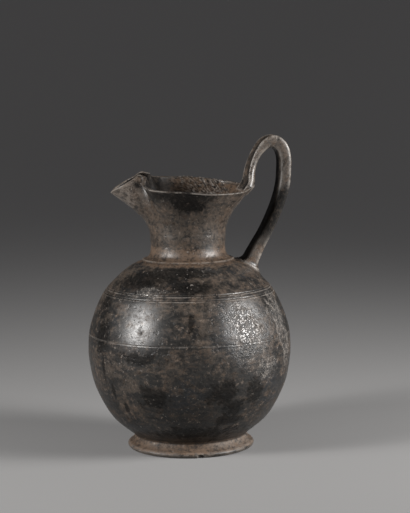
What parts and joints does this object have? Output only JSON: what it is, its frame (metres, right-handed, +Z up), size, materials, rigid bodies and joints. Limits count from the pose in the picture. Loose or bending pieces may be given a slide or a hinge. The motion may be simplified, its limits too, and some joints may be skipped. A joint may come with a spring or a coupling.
{
  "type": "oinochoe",
  "caption": "Round-bodied pouring jug with a flared foot, narrow neck, pinched trefoil mouth and a high strap handle.",
  "frame": {"origin": "centre of the foot's underside, on the jug's turning axis", "axes": "+Z up along the turning axis, +X towards the handle, the spout 8 degrees off -X towards +Y"},
  "size_m": [0.1908, 0.1886, 0.2887],
  "materials": {
    "burnished_ware": "burnished, low sheen, worn"
  },
  "bodies": {
    "root": {"oinochoe": "burnished_ware"}
  },
  "joints": []
}
